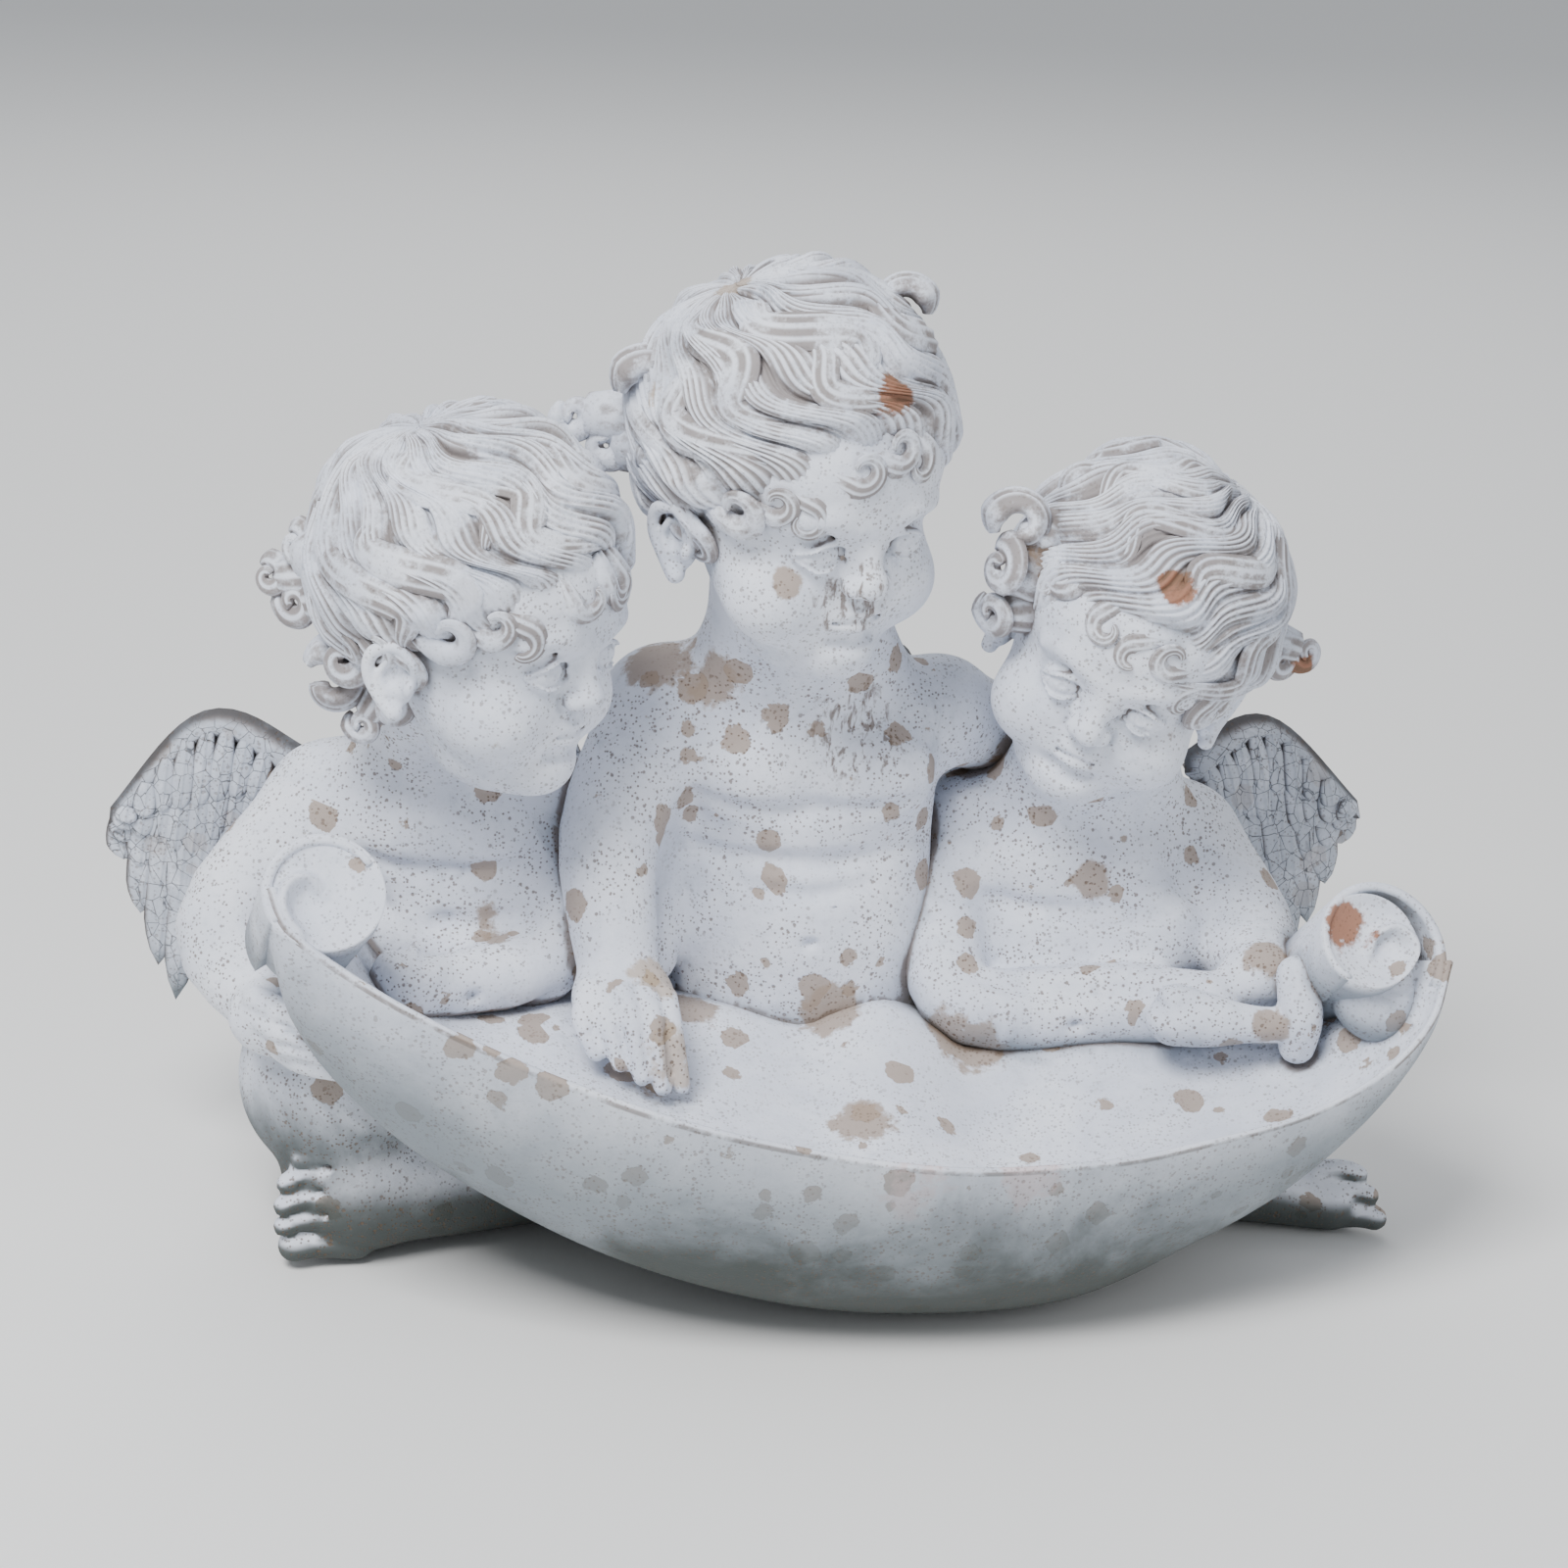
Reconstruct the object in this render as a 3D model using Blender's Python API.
"""Cherub garden statue: three seated children behind a scroll-ended half bowl, cast in one piece.

The group stands on the ground plane with its origin at the middle of the flat underside, +Z up and
the open side of the bowl towards -Y. Poses are written in shares: one share is 1/268 of the height.
"""
from math import cos, exp, pi, radians, sin

import bmesh
import bpy
from mathutils import Matrix, Vector

# Driving sizes in metres
GROUP_HEIGHT = 0.268
RIM_WALL = 0.0030
FLOOR_SAG = 0.017
BOWL_BACK = 0.014
SCROLL_REACH = 0.036
SCROLL_SHEET = 0.0040
SCROLL_DISH = 0.0012
FEATHER_THICK = 0.0046
CLAY_GRAIN = 0.0019
FLESH_SOFTNESS = 8
TRIANGLES = 9600

# One share of the height, in which every pose below is written
SHARE = GROUP_HEIGHT / 268.0

# Finish of the casting
STONE_COLOUR = (0.62, 0.64, 0.68, 1.0)
STONE_ROUGHNESS = 0.88

# Heads: centre of the skull, scale, and turn, nod and lean in degrees
HEADS = {
    "left": ((-80, -12, 184), 0.94, 50, 8, 2),
    "middle": ((1, 1, 215), 1.00, 24, 13, -2),
    "right": ((91, 7, 171), 0.92, -15, 20, 21),
}

# Head in its own frame, face towards -Y: soft skull, then crisp features, then dents
SKULL = [
    ((0, 6, 8), (34, 40, 36)),
    ((0, -9, -14), (29, 25, 28)),
    ((0, -15, 12), (28, 22, 20)),
    ((-16, -20, -19), (15, 14, 15)),
    ((16, -20, -19), (15, 14, 15)),
    ((0, -27, -36), (10, 9, 9)),
    ((0, -12, -38), (17, 17, 10)),
    ((-12, -28, 7), (12, 6, 4)),
    ((12, -28, 7), (12, 6, 4)),
]
FEATURES = [
    ((-13.5, -28.5, -4.5), (7.5, 6.5, 5)),
    ((13.5, -28.5, -4.5), (7.5, 6.5, 5)),
    ((0, -33, -4), (4.2, 7, 9)),
    ((0, -38.5, -12.5), (7, 6.5, 5)),
    ((0, -34.5, -21.5), (8, 5.5, 3)),
    ((0, -33.5, -27), (7, 5.5, 3)),
    ((-33, 3, -10), (4.5, 7.5, 10.5)),
    ((33, 3, -10), (4.5, 7.5, 10.5)),
]
FACE_DENTS = [
    ((-13.5, -36, -3), 8, 4.5),
    ((13.5, -36, -3), 8, 4.5),
    ((0, -37, -31), 4, 2.0),
    ((-10, -34, -24), 4, 1.8),
    ((10, -34, -24), 4, 1.8),
]

# Torsos from the ground to the neck: centre, half width and half depth of each level
TORSOS = {
    "left": [((-88, 36, -4), 42, 26), ((-87, 35, 30), 44, 29), ((-85, 30, 58), 38, 30),
             ((-84, 25, 82), 36, 28), ((-86, 26, 100), 34, 23), ((-89, 27, 114), 36, 21),
             ((-89, 26, 126), 32, 19), ((-87, 20, 138), 24, 20), ((-84, 8, 152), 22, 22),
             ((-82, -2, 164), 20, 20)],
    "middle": [((10, 38, -4), 44, 26), ((10, 37, 30), 47, 29), ((10, 32, 60), 41, 31),
               ((9, 28, 85), 38, 28), ((8, 29, 105), 37, 24), ((8, 30, 126), 38, 23),
               ((8, 30, 142), 38, 20), ((6, 27, 156), 31, 21), ((5, 20, 170), 25, 23),
               ((3, 12, 186), 23, 22)],
    "right": [((76, 42, -4), 42, 26), ((76, 41, 28), 44, 29), ((77, 38, 54), 40, 29),
              ((79, 34, 76), 37, 26), ((83, 36, 90), 36, 22), ((87, 38, 102), 37, 21),
              ((88, 38, 112), 34, 19), ((89, 33, 122), 26, 20), ((89, 22, 136), 22, 21),
              ((89, 12, 150), 20, 20)],
}

# Flesh on the torsos: balls as centre and half sizes
BALLS = {
    "left": [
        ((-101, 13, 114), (13, 9, 11)),
        ((-76, 11, 114), (13, 9, 11)),
        ((-116, 30, 116), (17, 15, 15)),
        ((-63, 28, 117), (15, 15, 14)),
        ((-116, 6, 47), (25, 28, 28)),
        ((-127, -21, 71), (12, 8, 8)),
        ((-99, -20, 84), (9.5, 9, 10.5)),
        ((-113, -5, 19), (16, 11, 18)),
        ((-70, 4, 54), (22, 16, 16)),
        ((-106, 50, 22), (22, 17, 25)),
        ((-68, 50, 22), (22, 17, 25)),
    ],
    "middle": [
        ((-8, 13, 130), (15, 10, 12)),
        ((27, 13, 129), (15, 10, 12)),
        ((-27, 31, 143), (17, 16, 15)),
        ((43, 33, 140), (16, 15, 14)),
        ((-43, -22, 76), (14, 11, 10)),
        ((8, 4, 26), (96, 36, 29)),
        ((-10, 52, 22), (22, 17, 25)),
        ((30, 52, 22), (22, 17, 25)),
    ],
    "right": [
        ((72, 23, 101), (13, 9, 10)),
        ((98, 25, 98), (13, 9, 10)),
        ((117, 44, 98), (16, 15, 14)),
        ((60, 42, 106), (15, 14, 13)),
        ((131, -9, 79), (11, 9, 7)),
        ((122, 22, 32), (26, 26, 32)),
        ((58, 56, 22), (21, 17, 24)),
        ((96, 56, 22), (21, 17, 24)),
    ],
}

# Limbs: points with a radius each, joined in order
LIMBS = {
    "left": [
        [(-119, 29, 116, 15), (-146, 12, 87, 13), (-132, -15, 72, 9.5)],
        [(-61, 26, 116, 13), (-58, 4, 84, 11), (-84, -13, 81, 8.5), (-99, -19, 83, 8.5)],
        [(-98, 32, 38, 28), (-116, 8, 46, 25)],
        [(-112, -4, 19, 17), (-84, 4, 17, 16), (-56, 14, 16, 16)],
    ],
    "middle": [
        [(-30, 28, 142, 16), (-45, 6, 115, 13.5), (-44, -12, 88, 11), (-42, -20, 78, 10)],
        [(48, 36, 139, 14), (72, 56, 124, 12), (104, 60, 112, 10)],
        [(58, 42, 20, 16), (60, 44, 60, 14), (62, 48, 94, 10)],
        [(-44, 42, 20, 16), (-44, 42, 70, 13), (-46, 44, 104, 10)],
        [(-30, 24, 130, 9), (-33, 18, 100, 8), (-34, 10, 78, 8)],
    ],
    "right": [
        [(119, 41, 98, 16), (132, 22, 80, 15), (132, 2, 77, 11), (132, -8, 78, 8.5)],
        [(57, 40, 104, 12), (48, 16, 80, 11), (54, 0, 67, 11), (94, -3, 68, 11), (116, -13, 72, 9)],
        [(88, 20, 16, 16), (120, 8, 14, 14), (148, 0, 9, 9.5), (158, -3, 8, 8.5)],
        [(105, -22, 73, 8.4), (114, -24, 72, 7), (124, -25, 71, 5.2), (134, -25, 71, 4.6)],
        [(137, -22, 84, 5.5), (138, -26, 74, 6), (138, -25, 65, 5)],
    ],
}

# Fingers and toes: root, tip and radius
DIGITS = [
    ((-52, -27, 73), (-50, -36, 64), 4.2),
    ((-46, -30, 73), (-44, -40, 62), 4.4),
    ((-40, -30, 72), (-38, -41, 60), 4.4),
    ((-34, -28, 71), (-33, -38, 60), 4.2),
    ((-129, -28, 79), (-117, -33, 74), 3.8),
    ((-128, -28, 73), (-116, -33, 68), 3.8),
    ((-126, -26, 67), (-114, -32, 62), 3.8),
    ((-118, -10, 34), (-125, -12, 35), 5.0),
    ((-120, -11, 27), (-129, -13, 28), 4.6),
    ((-121, -12, 20), (-131, -14, 21), 4.6),
    ((-121, -12, 13), (-131, -14, 14), 4.8),
    ((-119, -11, 6), (-129, -13, 6), 5.8),
    ((157, -5, 6), (168, -7, 5), 5.4),
    ((156, -3, 12), (165, -5, 13), 4.4),
    ((153, -1, 17), (161, -3, 18), 4.2),
]

# Bowl mouth: three points of its plane, then the lip's outline in that plane
MOUTH_LEFT = (-121, -46, 133)
MOUTH_RIGHT = (154, -24, 108)
MOUTH_FRONT = (16, -88, 61)
LIP = [(-14, -13), (-9, -24), (4, -34), (25, -46), (60, -61), (101, -73), (154, -80), (198, -77),
       (229, -70), (255, -62), (277, -50), (292, -35), (299, -18)]
KEEL = [(-131, -36, 98), (-126, -29, 79), (-113, -24, 59), (-86, -20, 36), (-36, -24, 12),
        (13, -34, 1), (44, -37, -1), (76, -34, 1), (112, -26, 14), (128, -24, 26),
        (144, -26, 45), (157, -29, 66), (169, -31, 87)]
# Scrolls: middle, start angle, way round, then the reach at each quarter turn
CREST = [(-119, -31, 106), (-108, -28, 86), (-90, -26, 75), (-73, -23, 72), (-56, -16, 72), (-30, -4, 69),
         (-12, -4, 67), (7, -4, 62), (18, -4, 66), (30, -4, 68), (42, -4, 63), (52, -6, 57), (67, -4, 59),
         (83, -4, 63), (96, -6, 63), (108, -10, 60), (121, -14, 61), (137, -18, 62), (148, -22, 67),
         (156, -26, 77), (161, -29, 91)]
SCROLLS = [
    ((0.5, -13), 180, -1, (14.5, 14.0, 14.5, 13.0, 9.0)),
    ((276, -13), -12, 1, (23.0, 13.0, 13.0, 12.5, 9.0)),
]

# Wings: root, arch, outer tip and low tip, then the side
WINGS = [
    ((-124, 46, 124), (-150, 50, 136), (-178, 48, 108), (-160, 46, 58), 1.1),
    ((122, 60, 112), (146, 68, 122), (176, 66, 96), (160, 62, 58), 1.1),
    ((-70, 50, 118), (-58, 60, 128), (-46, 64, 106), (-54, 60, 74), 0.7),
    ((-6, 48, 142), (-18, 58, 150), (-28, 64, 126), (-20, 60, 92), 0.7),
    ((26, 48, 140), (38, 58, 148), (48, 64, 124), (40, 60, 90), 0.7),
    ((72, 56, 108), (60, 64, 114), (52, 70, 94), (62, 64, 66), 0.6),
]

# Rows of feathers: how many, reach from the edge, width and lift
FEATHER_ROWS = [
    (6, 1.00, 9.5, -1.5),
    (6, 0.68, 9.5, 1.6),
    (7, 0.38, 8.5, 4.4),
]

# Hair: rings of locks as first angle from the crown, count, length and sideways lean
LOCK_RINGS = [
    (10, 7, 30, 38),
    (40, 10, 30, 30),
    (66, 13, 26, 24),
]
HAIR_CENTRE = Vector((0, 6, 8))
HAIR_SIZE = Vector((37, 43, 39))
CROWN_TILT = 16
FACE_HALF_ANGLE = 70
FRINGE_REACH = 0.35
LOCK_WIDTH = 4.8
LOCK_HEIGHT = 4.4
LOCK_RISE = 2.6

# Curls that stand off the heads: centre, radius, and the way their flat side looks
CURLS = [
    ((-40, 9, 236), 10, (-0.2, -0.95, 0.2)),
    ((31, 17, 257), 8, (-0.2, -0.95, 0.2)),
    ((-35, -2, 215), 8, (-0.2, -0.95, 0.2)),
    ((-48, 22, 217), 7, (-0.5, -0.8, 0.1)),
    ((-55, 24, 222), 5, (-0.5, -0.8, 0.1)),
    ((-118, -3, 193), 11, (-0.2, -0.95, 0.2)),
    ((-117, -8, 165), 11, (-0.2, -0.95, 0.2)),
    ((-115, -12, 178), 9, (-0.5, -0.8, 0.1)),
    ((-72, 4, 226), 6, (-0.2, -0.95, 0.2)),
    ((-126, 12, 184), 7, (-0.6, -0.8, 0.1)),
    ((-134, 16, 180), 5, (-0.5, -0.8, 0.2)),
    ((54, -2, 203), 8, (-0.2, -0.95, 0.2)),
    ((49, -5, 190), 8, (-0.5, -0.8, 0.0)),
    ((124, 2, 184), 7, (0.3, -0.9, 0.1)),
    ((138, 14, 160), 6, (0.4, -0.9, 0.0)),
]


def shares(point):
    """A place given in shares, in metres."""
    return Vector(point) * SHARE


def add_ball(clay, centre, half, turn=None):
    """One squashed ball of clay, in metres."""
    turn = turn or Matrix.Identity(3)
    place = Matrix.Translation(centre) @ turn.to_4x4() @ Matrix.Diagonal((*half, 1.0))
    bmesh.ops.create_icosphere(clay, subdivisions=3, radius=1.0, matrix=place)


def add_tube(clay, points, radii, sides=10, squash=1.0, ups=None):
    """A closed sausage along points; squash flattens it along the given up directions."""
    rings = []
    count = len(points)
    for number, point in enumerate(points):
        ahead = points[min(number + 1, count - 1)]
        behind = points[max(number - 1, 0)]
        along = (ahead - behind).normalized()
        up = ups[number] if ups else along.orthogonal()
        across = along.cross(up).normalized()
        up = across.cross(along).normalized()
        ring = []
        for step in range(sides):
            angle = 2 * pi * step / sides
            offset = across * cos(angle) + up * (sin(angle) * squash)
            ring.append(clay.verts.new(point + offset * radii[number]))
        rings.append(ring)
    for lower, upper in zip(rings, rings[1:]):
        for step in range(sides):
            after = (step + 1) % sides
            clay.faces.new((lower[step], lower[after], upper[after], upper[step]))
    clay.faces.new(list(reversed(rings[0])))
    clay.faces.new(rings[-1])


def add_limb(clay, joints):
    """A round-ended limb that bends smoothly through its joints."""
    spots = curve_through([shares(joint[:3]) for joint in joints], 5)
    sizes = curve_through([Vector((joint[3], 0, 0)) for joint in joints], 5)
    radii = [size.x * SHARE for size in sizes]
    add_tube(clay, spots, radii, sides=16)
    for end in (0, -1):
        add_ball(clay, spots[end], Vector((radii[end],) * 3))


def add_torso(clay, levels):
    """A trunk lofted through its levels, from the ground to the neck."""
    spots = curve_through([shares(level[0]) for level in levels], 4)
    sizes = curve_through([Vector((level[1], level[2], 0)) for level in levels], 4)
    rings = []
    for spot, size in zip(spots, sizes):
        ring = []
        for step in range(28):
            angle = 2 * pi * step / 28
            ring.append(clay.verts.new(spot + Vector((size.x * cos(angle), size.y * sin(angle), 0)) * SHARE))
        rings.append(ring)
    for lower, upper in zip(rings, rings[1:]):
        for step in range(28):
            after = (step + 1) % 28
            clay.faces.new((lower[step], lower[after], upper[after], upper[step]))
    clay.faces.new(list(reversed(rings[0])))
    clay.faces.new(rings[-1])


def curve_through(points, steps):
    """Points of a smooth curve through hand-chosen points, steps to each stretch."""
    knots = [2 * points[0] - points[1]] + points + [2 * points[-1] - points[-2]]
    out = []
    for a, b, c, d in zip(knots, knots[1:], knots[2:], knots[3:]):
        for step in range(steps):
            t = step / steps
            out.append(0.5 * (2 * b + (c - a) * t + (2 * a - 5 * b + 4 * c - d) * t * t
                              + (3 * b - a - 3 * c + d) * t ** 3))
    out.append(points[-1].copy())
    return out


# Heads

def head_place(name):
    """Matrix from a head's own frame, in shares, to the group's frame in metres."""
    centre, size, turn, nod, lean = HEADS[name]
    spin = (Matrix.Rotation(radians(lean), 4, "Y") @ Matrix.Rotation(radians(turn), 4, "Z")
            @ Matrix.Rotation(radians(nod), 4, "X"))
    return Matrix.Translation(shares(centre)) @ spin @ Matrix.Scale(size * SHARE, 4)


def add_head_balls(clay, place, parts):
    """Balls given in a head's own frame."""
    turn = place.to_3x3().normalized()
    size = place.to_scale()[0]
    for centre, half in parts:
        add_ball(clay, place @ Vector(centre), Vector(half) * size, turn)


def press_face(mesh, place):
    """Press the eye hollows, the mouth line and the hollow under the lip into soft clay."""
    size = place.to_scale()[0]
    looks = (place.to_3x3() @ Vector((0, -1, 0))).normalized()
    for spot, radius, depth in FACE_DENTS:
        middle = place @ Vector(spot)
        reach = radius * size
        for vertex in mesh.vertices:
            near = (vertex.co - middle).length / reach
            if near < 2.2 and vertex.normal.dot(looks) > 0.0:
                vertex.co -= looks * (depth * size * exp(-near * near * 1.4))


def scalp_walk(start, heading, length, sway, curl_side):
    """Points and outward directions of one lock: it sways down the scalp, then coils up."""
    point = start.copy()
    head = heading.copy()
    step = 1.6
    walked = 0.0
    points = []
    outs = []
    coil = 16.0
    while walked < length + coil:
        unit = Vector([(p - c) / s for p, c, s in zip(point, HAIR_CENTRE, HAIR_SIZE)]).normalized()
        out = Vector([u / s for u, s in zip(unit, HAIR_SIZE)]).normalized()
        point = HAIR_CENTRE + Vector([u * s for u, s in zip(unit, HAIR_SIZE)])
        points.append(point.copy())
        outs.append(out)
        if walked < length:
            bend = sway * cos(2 * pi * walked / 22.0)
        else:
            bend = curl_side / (6.5 - 3.0 * (walked - length) / coil)
        head = Matrix.Rotation(bend * step, 3, out) @ head
        head = (head - out * head.dot(out)).normalized()
        point = point + head * step
        walked += step
    return points, outs


def add_hair(clay, place):
    """A cap with three rings of wavy locks running out from the crown."""
    size = place.to_scale()[0]
    turn = place.to_3x3().normalized()
    add_ball(clay, place @ Vector((0, 9, 11)), Vector((36, 40, 37)) * size, turn)
    crown = Matrix.Rotation(radians(-CROWN_TILT), 3, "X")
    for ring, (tilt, count, length, lean) in enumerate(LOCK_RINGS):
        for number in range(count):
            angle = 360.0 * (number + 0.5 * (ring % 2)) / count - 180.0
            front = abs(angle) < FACE_HALF_ANGLE
            if ring == 2 and front:
                continue
            reach = length * (FRINGE_REACH if front and ring == 1 else 1.0)
            side = 1.0 if (number + ring) % 2 else -1.0
            ray = (Matrix.Rotation(radians(angle), 3, "Z") @ Matrix.Rotation(radians(tilt), 3, "X")
                   @ Vector((0, 0, 1)))
            ray = crown @ ray
            start = HAIR_CENTRE + Vector([r * s for r, s in zip(ray, HAIR_SIZE)])
            away = ray - crown @ Vector((0, 0, 1))
            out = Vector([r / s for r, s in zip(ray, HAIR_SIZE)]).normalized()
            away = (away - out * away.dot(out)).normalized()
            away = Matrix.Rotation(radians(lean) * side, 3, out) @ away
            points, outs = scalp_walk(start, away, reach, -0.11 * side, -side)
            last = len(points) - 1
            radii = [LOCK_WIDTH * (0.55 + 0.45 * sin(pi * min(1.0, 0.25 + n / last))) for n in range(last + 1)]
            spots = [place @ (p + o * LOCK_RISE) for p, o in zip(points, outs)]
            ups = [turn @ o for o in outs]
            add_tube(clay, spots, [r * size for r in radii], sides=8,
                     squash=LOCK_HEIGHT / LOCK_WIDTH, ups=ups)


def add_curl(clay, centre, radius, looks):
    """A snail-shaped curl lying across the given direction."""
    axis = Vector(looks).normalized()
    across = axis.orthogonal().normalized()
    other = axis.cross(across)
    points = []
    radii = []
    turns = 1.6
    steps = 26
    for step in range(steps + 1):
        share = step / steps
        angle = 2 * pi * turns * share
        reach = radius * (1.0 - 0.72 * share)
        spot = across * cos(angle) + other * sin(angle)
        points.append(shares(centre) + (spot * reach * 0.72 - axis * reach * 0.35) * SHARE)
        radii.append(radius * 0.36 * (1.0 - 0.35 * share) * SHARE)
    add_tube(clay, points, radii, sides=8, ups=[axis] * len(points))
    add_ball(clay, shares(centre) + axis * (radius * 0.25 * SHARE),
             Vector((radius * 0.62,) * 3) * SHARE)


# Bowl

def mouth_frame():
    """Corner, long way, up way and inward way of the bowl's mouth."""
    left, right, front = shares(MOUTH_LEFT), shares(MOUTH_RIGHT), shares(MOUTH_FRONT)
    long_way = (right - left).normalized()
    inward = (right - left).cross(front - left).normalized()
    if inward.y < 0:
        inward = -inward
    up_way = inward.cross(long_way)
    if up_way.z < 0:
        up_way = -up_way
    return left, long_way, up_way, inward


def on_mouth(frame, along, up, depth=0.0):
    """A place in the mouth's plane, along and up in shares, depth in metres."""
    corner, long_way, up_way, inward = frame
    return corner + (long_way * along + up_way * up) * SHARE + inward * depth


def crest_at(line, x):
    """Place on the wavy crest of the bowl's floor, where the bellies meet it."""
    x = min(max(x, line[0].x), line[-1].x)
    for a, b in zip(line, line[1:]):
        if a.x <= x <= b.x:
            return a.lerp(b, (x - a.x) / (b.x - a.x))
    return line[-1].copy()


def add_hull(clay, frame):
    """The half bowl: a thin lip, a round outside, and a floor that sags from lip to crest."""
    lip = curve_through([on_mouth(frame, *spot) for spot in LIP], 5)
    keel = curve_through([shares(spot) for spot in KEEL], 5)
    crest_line = curve_through([shares(spot) for spot in CREST], 4)
    middle = on_mouth(frame, 145, 20)
    count = len(lip)
    loops = []
    for number in range(count):
        share = number / (count - 1)
        fat = sin(pi * share) ** 0.7
        edge, low = lip[number], keel[number]
        inner = edge + (middle - edge).normalized() * RIM_WALL
        crest = crest_at(crest_line, edge.x * 0.9 + 3 * SHARE)
        loop = []
        for step in range(9):
            angle = pi / 2 * step / 8
            spot = edge.lerp(low, 1 - cos(angle))
            spot.z = edge.z + (low.z - edge.z) * sin(angle)
            loop.append(spot)
        back = Vector((low.x + (middle.x - low.x) * 0.08, BOWL_BACK, low.z + 0.006))
        loop.append(low.lerp(back, 0.5))
        loop.append(back)
        loop.append(Vector((crest.x, BOWL_BACK, crest.z - 0.002)))
        sag = Vector((0, 0, FLOOR_SAG * fat))
        near = inner.lerp(crest, 0.16) - sag * 1.5
        far = inner.lerp(crest, 0.62) - sag * 0.9
        for step in range(12, -1, -1):
            t = step / 12
            loop.append(inner * (1 - t) ** 3 + near * (3 * t * (1 - t) ** 2) + far * (3 * t * t * (1 - t))
                        + crest * t ** 3)
        loops.append([clay.verts.new(spot) for spot in loop])
    size = len(loops[0])
    for first, second in zip(loops, loops[1:]):
        for step in range(size):
            after = (step + 1) % size
            clay.faces.new((first[step], second[step], second[after], first[after]))
    clay.faces.new(list(reversed(loops[0])))
    clay.faces.new(loops[-1])


def add_scroll(clay, frame, centre, start, way, reaches):
    """A rolled end of the bowl: a spiral sheet around a solid barrel."""
    sheet = SCROLL_SHEET / SHARE
    knots = [Vector((reach, 0, 0)) for reach in reaches]
    outer, inner = [], []
    for number, knot in enumerate(curve_through(knots, 9)):
        angle = radians(start + way * 10.0 * number)
        ray = Vector((cos(angle), sin(angle)))
        outer.append(Vector(centre) + ray * knot.x)
        inner.append(Vector(centre) + ray * (knot.x - sheet))
    walls = []
    for depth in (0.0, SCROLL_REACH):
        walls.append([[clay.verts.new(on_mouth(frame, *spot, depth)) for spot in line]
                      for line in (outer, inner)])
    (front_out, front_in), (back_out, back_in) = walls
    for n in range(len(outer) - 1):
        clay.faces.new((front_out[n], front_out[n + 1], front_in[n + 1], front_in[n]))
        clay.faces.new((back_out[n + 1], back_out[n], back_in[n], back_in[n + 1]))
        clay.faces.new((front_out[n + 1], front_out[n], back_out[n], back_out[n + 1]))
        clay.faces.new((front_in[n], front_in[n + 1], back_in[n + 1], back_in[n]))
    clay.faces.new((front_out[0], front_in[0], back_in[0], back_out[0]))
    clay.faces.new((front_in[-1], front_out[-1], back_out[-1], back_in[-1]))
    core = [on_mouth(frame, *centre, SCROLL_DISH), on_mouth(frame, *centre, SCROLL_REACH)]
    add_tube(clay, core, [min(reaches[1:4]) * 0.9 * SHARE] * 2, sides=24,
             ups=[frame[3].orthogonal()] * 2)


# Wings

def add_feather(clay, root, tip, width, out):
    """One long rounded feather from root to tip."""
    along = tip - root
    across = along.cross(out).normalized()
    face = across.cross(along).normalized()
    turn = Matrix((across, along.normalized(), face)).transposed()
    half = Vector((width / 2, along.length / 2, FEATHER_THICK / 2))
    add_ball(clay, (root + tip) / 2, half, turn)


def add_wing(clay, root, arch, outer, low, size):
    """A small folded wing: an arched edge, short cover feathers and long flight feathers."""
    root, arch, outer, low = [shares(spot) for spot in (root, arch, outer, low)]
    out = (arch - root).cross(low - root)
    out = out.normalized() if out.y < 0 else -out.normalized()
    edge = curve_through([root, arch, outer], 6)
    bone = [6.5 * size * SHARE * (1.0 - 0.5 * n / 12) for n in range(13)]
    add_tube(clay, edge, bone, sides=10)
    for point, radius in ((edge[0], bone[0]), (edge[-1], bone[-1])):
        add_ball(clay, point, Vector((radius,) * 3))
    heel = root.lerp(low, 0.45)
    for row, (count, reach, width, lift) in enumerate(FEATHER_ROWS):
        for number in range(count):
            share = (number + 0.5 * (row % 2)) / count
            top = edge[min(12, int(2 + share * 10))]
            end = heel.lerp(low, min(1.0, share * 2.0)).lerp(outer, max(0.0, share * 2.0 - 1.0))
            tip = top.lerp(end, reach) + (end - top) * 0.05
            rise = out * lift * size * SHARE
            add_feather(clay, top + rise, tip + rise, width * size * SHARE, out)
    add_ball(clay, (root + arch + low + outer) / 4 + out * -1.5 * SHARE,
             Vector((20 * size, 5.0, 26 * size)) * SHARE)


# Whole group

def model_flesh():
    """Trunks, limbs and faces as overlapping clay, not joined yet."""
    clay = bmesh.new()
    for name in HEADS:
        add_torso(clay, TORSOS[name])
        for centre, half in BALLS[name]:
            add_ball(clay, shares(centre), Vector(half) * SHARE)
        for joints in LIMBS[name]:
            add_limb(clay, joints)
        add_head_balls(clay, head_place(name), SKULL)
    return as_mesh(clay, "flesh")


def model_details():
    """Hair, fingers, toes, bowl and wings, not joined yet."""
    clay = bmesh.new()
    for name in HEADS:
        add_head_balls(clay, head_place(name), FEATURES)
        add_hair(clay, head_place(name))
    for root, tip, radius in DIGITS:
        add_limb(clay, [(*root, radius), (*tip, radius * 0.85)])
    for centre, radius, looks in CURLS:
        add_curl(clay, centre, radius, looks)
    frame = mouth_frame()
    add_hull(clay, frame)
    for scroll in SCROLLS:
        add_scroll(clay, frame, *scroll)
    for wing in WINGS:
        add_wing(clay, *wing)
    return as_mesh(clay, "details")


def as_mesh(clay, name):
    """Turn clay into a mesh."""
    mesh = bpy.data.meshes.new(name)
    clay.to_mesh(mesh)
    clay.free()
    return mesh


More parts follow.
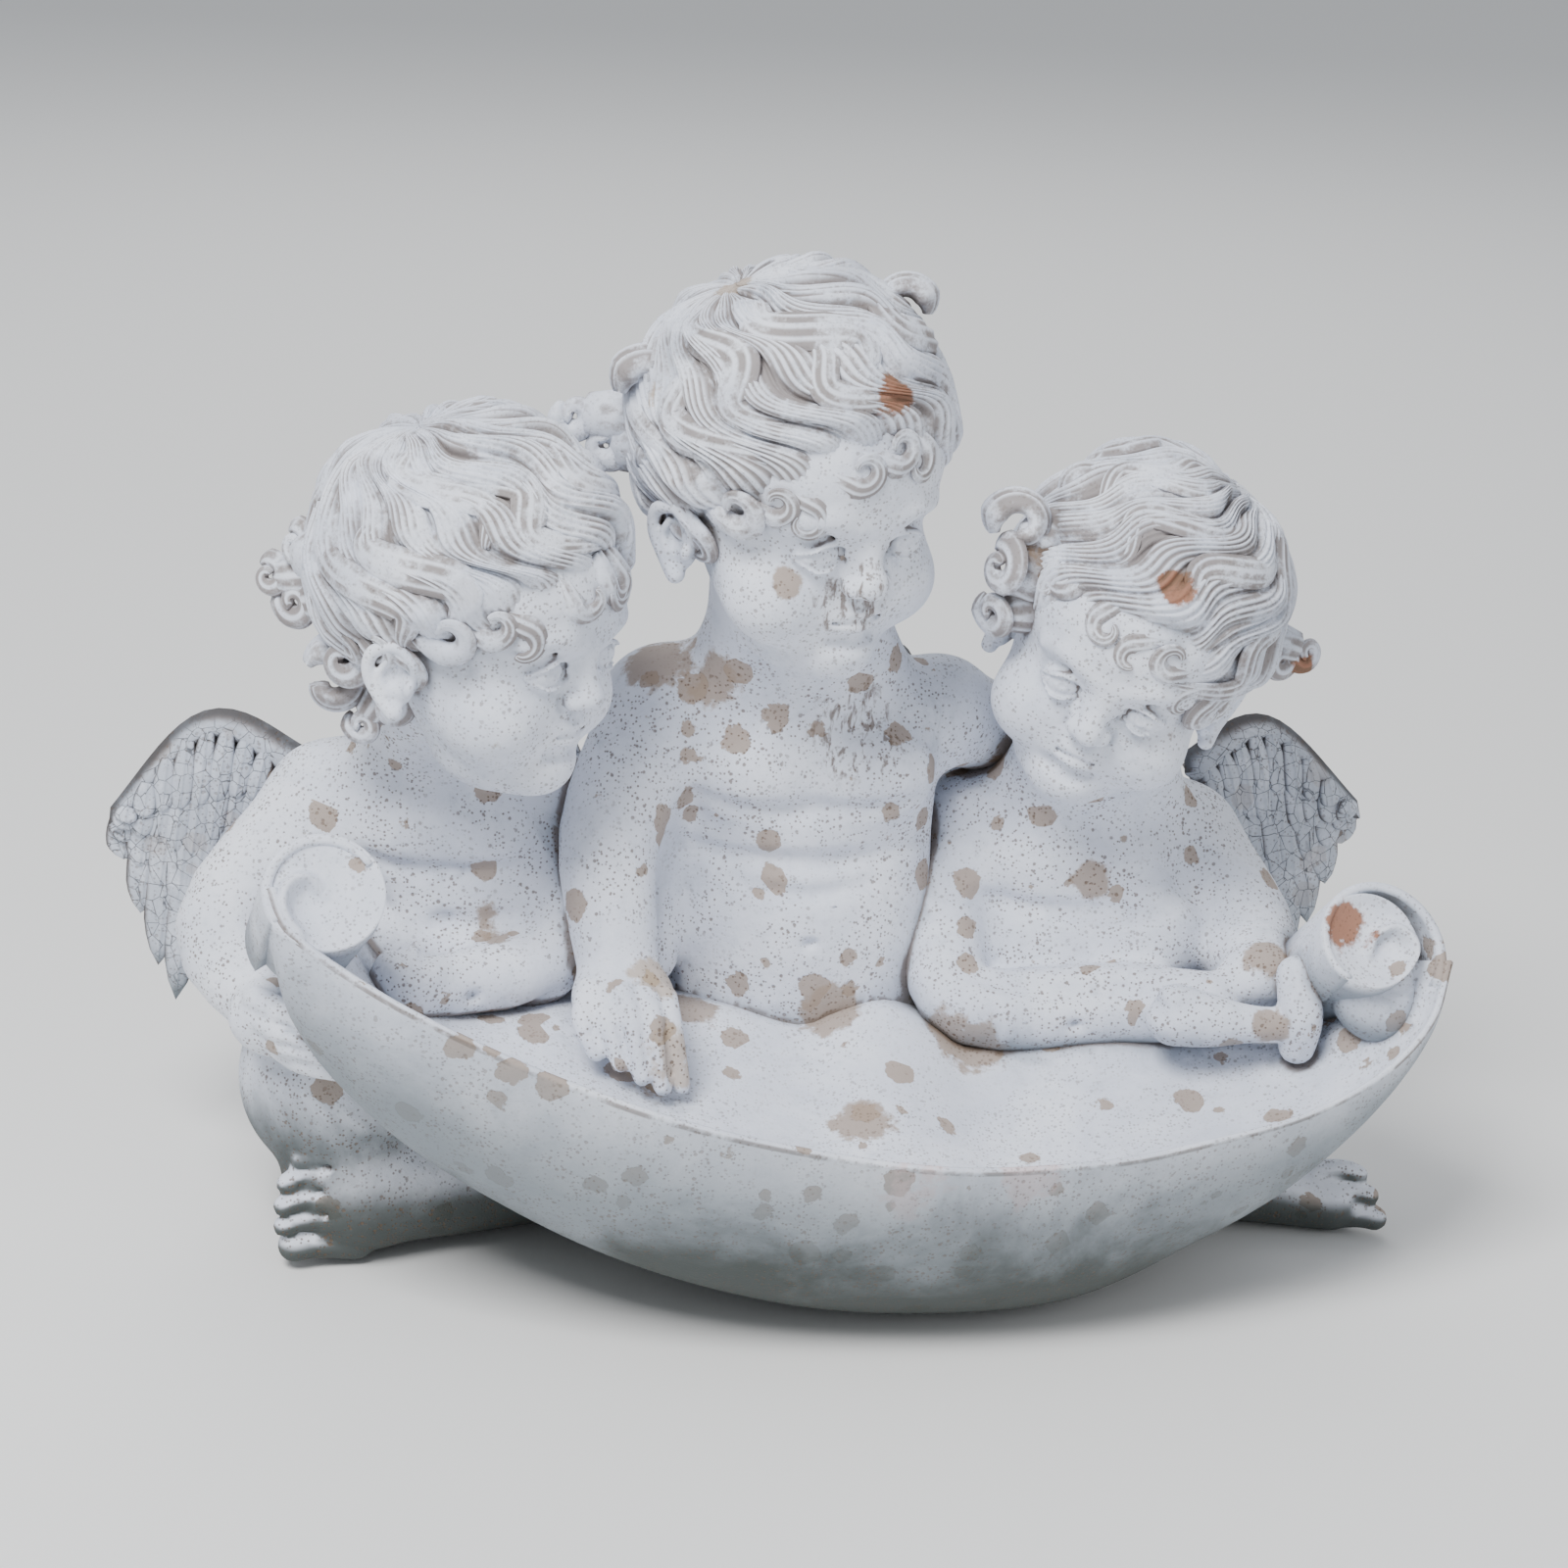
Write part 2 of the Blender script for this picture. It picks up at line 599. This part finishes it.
def joined(mesh, grain, softness):
    """One skin around everything in a mesh, with its creases softened."""
    holder = bpy.data.objects.new("clay", mesh)
    bpy.context.scene.collection.objects.link(holder)
    join = holder.modifiers.new("join", "REMESH")
    join.mode = "VOXEL"
    join.voxel_size = grain
    soften = holder.modifiers.new("soften", "SMOOTH")
    soften.factor = 0.5
    soften.iterations = softness
    settled = holder.evaluated_get(bpy.context.evaluated_depsgraph_get())
    skin = bpy.data.meshes.new_from_object(settled)
    bpy.data.objects.remove(holder)
    return skin


def largest_body(mesh):
    """Keep the outer skin only."""
    work = bmesh.new()
    work.from_mesh(mesh)
    left = set(work.faces)
    bodies = []
    while left:
        seed = left.pop()
        body = [seed]
        queue = [seed]
        while queue:
            face = queue.pop()
            for edge in face.edges:
                for other in edge.link_faces:
                    if other in left:
                        left.remove(other)
                        body.append(other)
                        queue.append(other)
        bodies.append(body)
    bodies.sort(key=len)
    spare = [face for body in bodies[:-1] for face in body]
    bmesh.ops.delete(work, geom=spare, context="FACES")
    return work


def trim_underside(work):
    """Cut the casting flat where it stands."""
    everything = work.verts[:] + work.edges[:] + work.faces[:]
    cut = bmesh.ops.bisect_plane(work, geom=everything, plane_co=(0, 0, 0), plane_no=(0, 0, 1),
                                 clear_inner=True, dist=0.00001)
    border = [item for item in cut["geom_cut"] if isinstance(item, bmesh.types.BMEdge)]
    bmesh.ops.holes_fill(work, edges=border, sides=0)
    bmesh.ops.triangulate(work, faces=work.faces)
    bmesh.ops.recalc_face_normals(work, faces=work.faces)


def stone_material():
    """Whitewashed cast stone."""
    material = bpy.data.materials.new("weathered_whitewash")
    material.use_nodes = True
    shader = material.node_tree.nodes["Principled BSDF"]
    shader.inputs["Base Color"].default_value = STONE_COLOUR
    shader.inputs["Roughness"].default_value = STONE_ROUGHNESS
    shader.inputs["Metallic"].default_value = 0.0
    return material


def cast_group():
    """Join the clay, thin its mesh out and cut its underside flat."""
    flesh = joined(model_flesh(), CLAY_GRAIN, FLESH_SOFTNESS)
    for name in HEADS:
        press_face(flesh, head_place(name))
    clay = bmesh.new()
    clay.from_mesh(flesh)
    clay.from_mesh(model_details())
    work = largest_body(joined(as_mesh(clay, "clay"), CLAY_GRAIN, 1))
    bmesh.ops.triangulate(work, faces=work.faces)
    whole = as_mesh(work, "whole")
    group = bpy.data.objects.new("cherub_group", whole)
    bpy.context.scene.collection.objects.link(group)
    thin = group.modifiers.new("thin", "DECIMATE")
    thin.ratio = TRIANGLES / len(whole.polygons)
    shape = bpy.data.meshes.new_from_object(group.evaluated_get(bpy.context.evaluated_depsgraph_get()))
    group.modifiers.clear()
    work = largest_body(shape)
    trim_underside(work)
    work.to_mesh(shape)
    work.free()
    shape.name = "cherub_group"
    shape.materials.append(stone_material())
    group.data = shape
    shape.shade_smooth()
    return group


for old in list(bpy.data.objects):
    bpy.data.objects.remove(old, do_unlink=True)
statue = cast_group()
print("triangles", len(statue.data.polygons), "size", [round(side, 4) for side in statue.dimensions])
